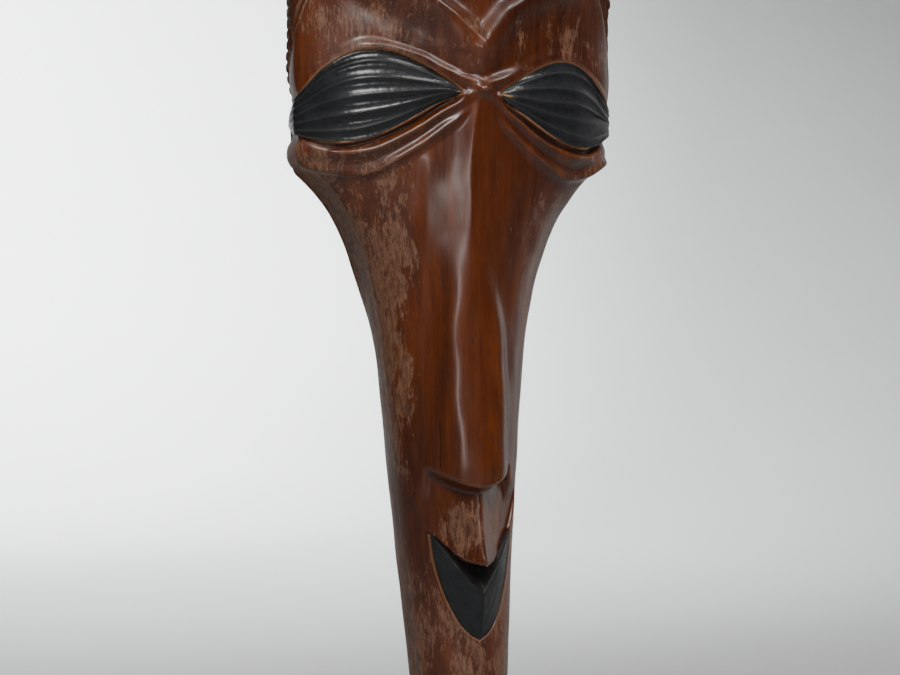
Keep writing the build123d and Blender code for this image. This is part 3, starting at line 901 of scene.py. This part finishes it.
# --- materials
class Shader:
    """A node material built by small calls, which give sockets."""

    def __init__(self, name):
        self.material = bpy.data.materials.new(name)
        self.material.use_nodes = True
        self.tree = self.material.node_tree
        self.bsdf = self.tree.nodes["Principled BSDF"]

    def put(self, socket, value):
        if isinstance(value, bpy.types.NodeSocket):
            self.tree.links.new(value, socket)
        else:
            socket.default_value = value

    def node(self, kind, output, inputs, **settings):
        n = self.tree.nodes.new("ShaderNode" + kind)
        for key, value in settings.items():
            setattr(n, key, value)
        for key, value in inputs.items():
            self.put(n.inputs[key], value)
        return n.outputs[output]

    def attribute(self, name):
        return self.node("Attribute", "Fac", {}, attribute_name=name)

    def place(self, scale=(1, 1, 1), turn=(0, 0, 0), uv=False):
        source = self.node("TexCoord", "UV" if uv else "Object", {})
        inputs = {"Vector": source, "Scale": scale, "Rotation": turn}
        return self.node("Mapping", "Vector", inputs)

    def noise(self, where, scale, detail=4.0, rough=0.55, distortion=0.0):
        return self.node("TexNoise", "Fac", {
            "Vector": where, "Scale": scale, "Detail": detail, "Roughness": rough,
            "Distortion": distortion})

    def cell_edges(self, where, scale):
        inputs = {"Vector": where, "Scale": scale}
        return self.node("TexVoronoi", "Distance", inputs, feature="DISTANCE_TO_EDGE")

    def ramp(self, value, low, high, to_low=0.0, to_high=1.0):
        inputs = {"Value": value, "From Min": low, "From Max": high, "To Min": to_low,
                  "To Max": to_high}
        return self.node("MapRange", "Result", inputs, interpolation_type="SMOOTHSTEP")

    def maths(self, operation, a, b):
        return self.node("Math", 0, {0: a, 1: b}, operation=operation)

    def times(self, a, b):
        return self.maths("MULTIPLY", a, b)

    def plus(self, a, b):
        return self.maths("ADD", a, b)

    def mix(self, share, a, b):
        a, b = (c if isinstance(c, bpy.types.NodeSocket) else (*c, 1) for c in (a, b))
        return self.node("Mix", 2, {0: share, 6: a, 7: b}, data_type="RGBA")

    def over(self, colour, where, share, tint):
        """A tint laid over a colour, where a mask says."""
        return self.mix(self.times(where, share), colour, tint)

    def bump(self, height, strength, distance, **under):
        inputs = {"Height": height, "Strength": strength, "Distance": distance}
        return self.node("Bump", "Normal", inputs | under)

    def finish(self, colour, roughness, normal, **constants):
        sockets = {"Base Color": colour, "Roughness": roughness, "Normal": normal}
        for key, value in (sockets | constants).items():
            self.put(self.bsdf.inputs[key.replace("_", " ")], value)
        return self.material


def carved_wood():
    """Red-brown hardwood, darker in the hair and raw at the back."""
    s = Shader("red_brown_hardwood")
    worn_here, side, back = s.attribute("worn"), s.attribute("side"), s.attribute("back")
    broad = s.noise(s.place((1, 1, 0.22)), 26, 4, 0.55, 0.4)
    figure = s.noise(s.place((1, 1, 0.10), (0.05, 0.03, 0)), 95, 5, 0.6, 0.6)
    fine = s.noise(s.place((1, 1, 0.045)), 620, 3, 0.6)
    colour = s.mix(s.ramp(broad, 0.33, 0.68), (0.0165, 0.0026, 0.0003), (0.052, 0.0096, 0.0008))
    colour = s.over(colour, s.ramp(figure, 0.50, 0.72), 0.55, (0.086, 0.0195, 0.0014))
    colour = s.over(colour, s.ramp(figure, 0.50, 0.30), 0.60, (0.014, 0.0026, 0.0010))
    colour = s.over(colour, s.ramp(fine, 0.36, 0.70), 0.30, (0.074, 0.0175, 0.0020))
    # worn, paler patches with ragged edges that follow the grain
    patch = s.noise(s.place((1, 1, 0.45)), 80, 7, 0.74, 0.6)
    flecks = s.noise(s.place((1, 1, 0.24)), 700, 6, 0.80)
    ragged = s.plus(s.times(patch, 0.95), s.times(flecks, 0.62))
    worn = s.ramp(s.plus(ragged, s.times(worn_here, 0.34)), 0.98, 1.06)
    tan = s.mix(s.ramp(flecks, 0.35, 0.65), (0.050, 0.0205, 0.0095), (0.112, 0.054, 0.031))
    colour = s.over(colour, worn, 0.84, tan)
    # dark spots
    mottle = s.noise(s.place((1, 1, 0.35), (0.1, 0, 0)), 330, 6, 0.75, 0.4)
    spots = s.times(s.ramp(mottle, 0.52, 0.64), s.plus(s.times(worn_here, 0.55), 0.25))
    colour = s.mix(spots, colour, (0.018, 0.0042, 0.0018))
    # pores
    pores = s.ramp(s.noise(s.place((1, 1, 0.055)), 1150, 2, 0.5), 0.63, 0.72)
    colour = s.over(colour, pores, 0.62, (0.018, 0.005, 0.003))
    # a few hairline checks along the grain
    checks = s.ramp(s.cell_edges(s.place((1, 1, 0.035)), 46), 0.006, 0.001)
    checks = s.times(checks, s.ramp(s.noise(s.place(), 22, 2), 0.55, 0.62))
    colour = s.over(colour, checks, 0.7, (0.008, 0.002, 0.001))
    # cracked old varnish, seen chiefly where it is worn
    cracks = s.ramp(s.cell_edges(s.place((1, 1, 0.8)), 620), 0.10, 0.02)
    patchy = s.ramp(s.noise(s.place(), 55, 3), 0.52, 0.66)
    cracked = s.times(s.times(cracks, patchy), worn_here)
    colour = s.over(colour, cracked, 0.55, (0.030, 0.008, 0.004))
    # edges worn through to bare wood, darker in the hollows, a bare rim round the black pieces
    curve = s.attribute("curve")
    rag = s.plus(curve, s.times(s.plus(flecks, -0.5), 0.10))
    colour = s.over(colour, s.ramp(rag, -0.14, -0.34), 0.30, (0.120, 0.052, 0.024))
    colour = s.over(colour, s.ramp(curve, 0.045, 0.20), 0.72, (0.020, 0.006, 0.003))
    colour = s.over(colour, s.ramp(s.attribute("rim"), 0.45, 0.95), 0.62, (0.150, 0.068, 0.030))
    # hair, stained darker, and darker still between its knobs
    hair = s.attribute("hair")
    dark = s.mix(s.ramp(fine, 0.3, 0.7), (0.016, 0.0052, 0.0028), (0.046, 0.0150, 0.0075))
    dark = s.over(dark, s.ramp(s.attribute("gap"), 0.25, 0.85), 0.80, (0.006, 0.003, 0.002))
    colour = s.over(colour, hair, 0.86, dark)
    # raw wood at the back
    raw = s.mix(s.ramp(figure, 0.35, 0.65), (0.055, 0.019, 0.0075), (0.135, 0.054, 0.024))
    raw = s.over(raw, pores, 0.5, (0.03, 0.010, 0.005))
    raw = s.over(raw, s.ramp(curve, 0.03, 0.2), 0.6, (0.030, 0.010, 0.005))
    colour = s.over(colour, back, 0.88, raw)

    # duller where it is worn, in the hair, on the sides and at the back
    rough = s.plus(s.ramp(broad, 0.3, 0.7, 0.30, 0.38), s.times(worn, 0.13))
    rough = s.plus(rough, s.times(s.ramp(fine, 0.3, 0.7), 0.06))
    rough = s.plus(rough, s.plus(s.times(hair, 0.16), s.times(back, 0.28)))
    rough = s.plus(rough, s.times(side, 0.22))
    s.put(s.bsdf.inputs["Coat Weight"], s.plus(0.20, s.times(side, -0.19)))
    solid = s.maths("SUBTRACT", 1.0, pores)
    grain = s.bump(s.plus(s.times(fine, 0.5), s.times(solid, 0.8)), 0.35, 0.00022)
    marks = s.bump(s.plus(figure, s.times(worn, -0.25)), 0.30, 0.0007, Normal=grain)
    return s.finish(colour, rough, marks, Coat_Roughness=0.24, Specular_IOR_Level=0.16)


def black_wood():
    """Blackened wood with tool strokes, chipped edges and a painted highlight along the crests."""
    s = Shader("blackened_wood")
    broad = s.noise(s.place((1, 1, 1)), 75, 4, 0.6)
    strokes = s.noise(s.place((0.9, 14, 1), uv=True), 4.5, 5, 0.65)
    scrape = s.noise(s.place((1.6, 46, 1), uv=True), 5.5, 3, 0.7)
    colour = s.mix(s.ramp(broad, 0.35, 0.7), (0.0016, 0.0020, 0.0027), (0.0050, 0.0058, 0.0068))
    colour = s.over(colour, s.ramp(strokes, 0.52, 0.78), 0.45, (0.013, 0.0138, 0.0145))
    # painted highlight: a lighter grey along the crests of the eyes' flutes and of the lips
    colour = s.over(colour, s.ramp(s.attribute("crest"), 0.45, 1.0), 0.40, (0.024, 0.0232, 0.0222))
    chips = s.times(s.ramp(s.attribute("edge"), 0.35, 1.0), s.ramp(scrape, 0.50, 0.66))
    colour = s.over(colour, chips, 0.55, (0.150, 0.085, 0.045))
    bare = s.ramp(s.plus(s.attribute("bare"), s.times(s.plus(scrape, -0.5), 0.9)), 0.62, 0.86)
    colour = s.over(colour, bare, 0.85, (0.26, 0.135, 0.06))
    inner = s.attribute("inner")
    colour = s.over(colour, inner, 0.6, (0.0085, 0.0070, 0.0060))
    rough = s.plus(s.ramp(strokes, 0.35, 0.7, 0.25, 0.40), s.times(s.ramp(broad, 0.4, 0.7), 0.10))
    rough = s.plus(rough, s.times(inner, 0.35))
    outer = s.maths("SUBTRACT", 1.0, s.times(inner, 0.85))
    s.put(s.bsdf.inputs["Coat Weight"], s.times(outer, 0.24))
    normal = s.bump(scrape, 0.45, 0.00016, Normal=s.bump(strokes, 0.55, 0.00045))
    return s.finish(colour, rough, normal, Coat_Roughness=0.20, Specular_IOR_Level=0.09)


def metal(name, low, high, stain, rough_low, rough_high):
    s = Shader(name)
    cloud = s.noise(s.place(), 260, 5, 0.6)
    fine = s.noise(s.place((1, 1, 6)), 1500, 3, 0.6)
    colour = s.mix(s.ramp(cloud, 0.3, 0.7), low, high)
    colour = s.over(colour, s.ramp(s.noise(s.place(), 700, 6, 0.7), 0.58, 0.72), 0.6, stain)
    rough = s.plus(s.ramp(cloud, 0.3, 0.7, rough_low, rough_high), s.times(fine, 0.08))
    return s.finish(colour, rough, s.bump(fine, 0.3, 0.00006), Metallic=1.0)


def pale_stage():
    s = Shader("pale_backdrop")
    cloud = s.noise(s.place(), 1.3, 3, 0.5)
    colour = s.mix(s.ramp(cloud, 0.3, 0.7), (0.46, 0.468, 0.465), (0.49, 0.498, 0.495))
    normal = s.bump(s.noise(s.place(), 900), 0.05, 0.0002)
    return s.finish(colour, s.ramp(cloud, 0.3, 0.7, 0.7, 0.8), normal)


# --- pieces
WOOD, BLACK = carved_wood(), black_wood()


def add_piece(obj, node, material):
    """Puts a piece in the place of its CAD node, faces outward."""
    if volume(obj) < 0:
        obj.data.flip_normals()
    obj.data.materials.append(material)
    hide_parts(node)
    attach(obj, "mask")


add_piece(build_block(), "face_block", WOOD)
add_piece(build_eye("eye_inlay_left", 1), "left_eye", BLACK)
add_piece(build_eye("eye_inlay_right", -1), "right_eye", BLACK)
add_piece(build_lip("lip_inlay_left", 1), "left_lip", BLACK)
add_piece(build_lip("lip_inlay_right", -1), "right_lip", BLACK)

ZINC = metal("zinc_plated_steel", (0.40, 0.41, 0.42), (0.60, 0.61, 0.61), (0.22, 0.19, 0.16),
             0.30, 0.46)
BRASS = metal("dull_brass", (0.42, 0.29, 0.11), (0.60, 0.44, 0.19), (0.16, 0.10, 0.05),
              0.28, 0.42)
for node, finish in (("hanger_strap", ZINC), ("hanger_ring", ZINC), ("hanger_screws", BRASS)):
    for material_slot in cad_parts[node].material_slots:
        material_slot.material = finish


# --- studio
def lathe(name, profile, segments=96):
    """A dish turned about the vertical axis from (radius, height) points, in metres."""
    angles = [2 * math.pi * k / segments for k in range(segments)]
    points = [(r * math.cos(t), r * math.sin(t), z) for r, z in profile for t in angles]
    faces = [tuple(range(segments))]
    for start in range(0, (len(profile) - 1) * segments, segments):
        for k in range(segments):
            a, b = start + k, start + (k + 1) % segments
            faces.append((a, a + segments, b + segments, b))
    mesh = bpy.data.meshes.new(name)
    mesh.from_pydata(points, [], faces)
    mesh.shade_smooth()
    return add_object(name, mesh)


FLOOR_Z = cad_bounds[0][2] - 0.012
STAGE_RADIUS, BEND = 2.4, 1.6  # of the flat floor, and of the curve that turns it up to a wall
profile = [(r, FLOOR_Z) for r in (0.05, 1.0, 1.8, STAGE_RADIUS)]
profile += [(STAGE_RADIUS + BEND * math.sin(t), FLOOR_Z + BEND * (1 - math.cos(t)))
            for t in np.radians(range(6, 91, 6))]
profile += [(STAGE_RADIUS + BEND, FLOOR_Z + BEND + rise) for rise in (1.0, 2.2)]
floor = lathe("studio_floor", profile)
floor.data.materials.append(pale_stage())

world = bpy.data.worlds.new("studio")
world.use_nodes = True
world.node_tree.nodes["Background"].inputs["Color"].default_value = (0.93, 0.96, 1.0, 1)
world.node_tree.nodes["Background"].inputs["Strength"].default_value = 0.20
bpy.context.scene.world = world

middle = (Vector(cad_bounds[0]) + Vector(cad_bounds[1])) / 2


def direction(azimuth, elevation):
    """The way from the mask to a viewer."""
    az, el = math.radians(azimuth), math.radians(elevation)
    return Vector((math.sin(az) * math.cos(el), -math.cos(az) * math.cos(el), math.sin(el)))


def aimed(name, data, place, way):
    """An object for a light or a camera that looks along a way."""
    obj = add_object(name, data)
    obj.location = place
    obj.rotation_euler = way.to_track_quat("-Z", "Y").to_euler()
    return obj


def light(name, shape, size, watts, colour, place, way, spread=180):
    """An area light, with its size in metres."""
    data = bpy.data.lights.new(name, "AREA")
    data.shape = shape
    data.size, data.size_y = size
    data.energy = watts
    data.color = colour
    data.spread = math.radians(spread)
    aimed(name, data, place, way)


# azimuth, elevation, distance, size, watts, colour, height of the aim over the mask's middle
STUDIO_LIGHTS = {
    "key": (-28, 40, 1.5, (0.34, 0.38), 32, (1.0, 0.985, 0.96), 0.10),
    "ceiling": (14, 56, 1.6, (0.40, 0.34), 14, (1.0, 0.99, 0.97), 0.15),
    "ceiling_right": (44, 46, 1.6, (0.34, 0.30), 12, (1.0, 0.99, 0.97), 0.15),
    "window": (-24, 1, 1.5, (0.11, 0.19), 5.2, (1.0, 0.99, 0.97), 0.08),
    "right_wall": (108, 8, 1.5, (0.5, 1.2), 2.5, (1.0, 0.99, 0.96), 0),
}
for name, (azimuth, elevation, away, size, watts, colour, rise) in STUDIO_LIGHTS.items():
    toward = direction(azimuth, elevation)
    place = middle + Vector((0, 0, rise)) + toward * away
    light(name, "RECTANGLE", size, watts, colour, place, -toward)

# lights that face away from the mask, on to the backdrop: place, aim, watts, spread
BACKDROP_LIGHTS = {
    "backdrop_left": ((1.0, 1.2, 1.9), (-0.1, 4.0, 0.1), 140, 72),
    "backdrop_low": ((0.4, 1.3, 1.9), (0.7, 2.9, -0.6), 62, 84),
}
for name, (place, aim, watts, spread) in BACKDROP_LIGHTS.items():
    way = Vector(aim) - Vector(place)
    light(name, "DISK", (0.8, 0.8), watts, (0.97, 0.99, 1.0), place, way, spread)

# --- camera
VIEW_AZIMUTH, VIEW_ELEVATION, VIEW_ROLL, VIEW_DISTANCE = -24.0, 0.5, -0.4, 1.0
AIM = Vector((-0.0083, -0.0313, (332.0 - HANG) / 1000))
camera_data = bpy.data.cameras.new("camera")
camera_data.lens = 86
camera_data.sensor_width = 36
toward = direction(VIEW_AZIMUTH, VIEW_ELEVATION)
camera = aimed("camera", camera_data, AIM + toward * VIEW_DISTANCE, -toward)
camera.rotation_euler.rotate_axis("Z", math.radians(VIEW_ROLL))
bpy.context.scene.camera = camera
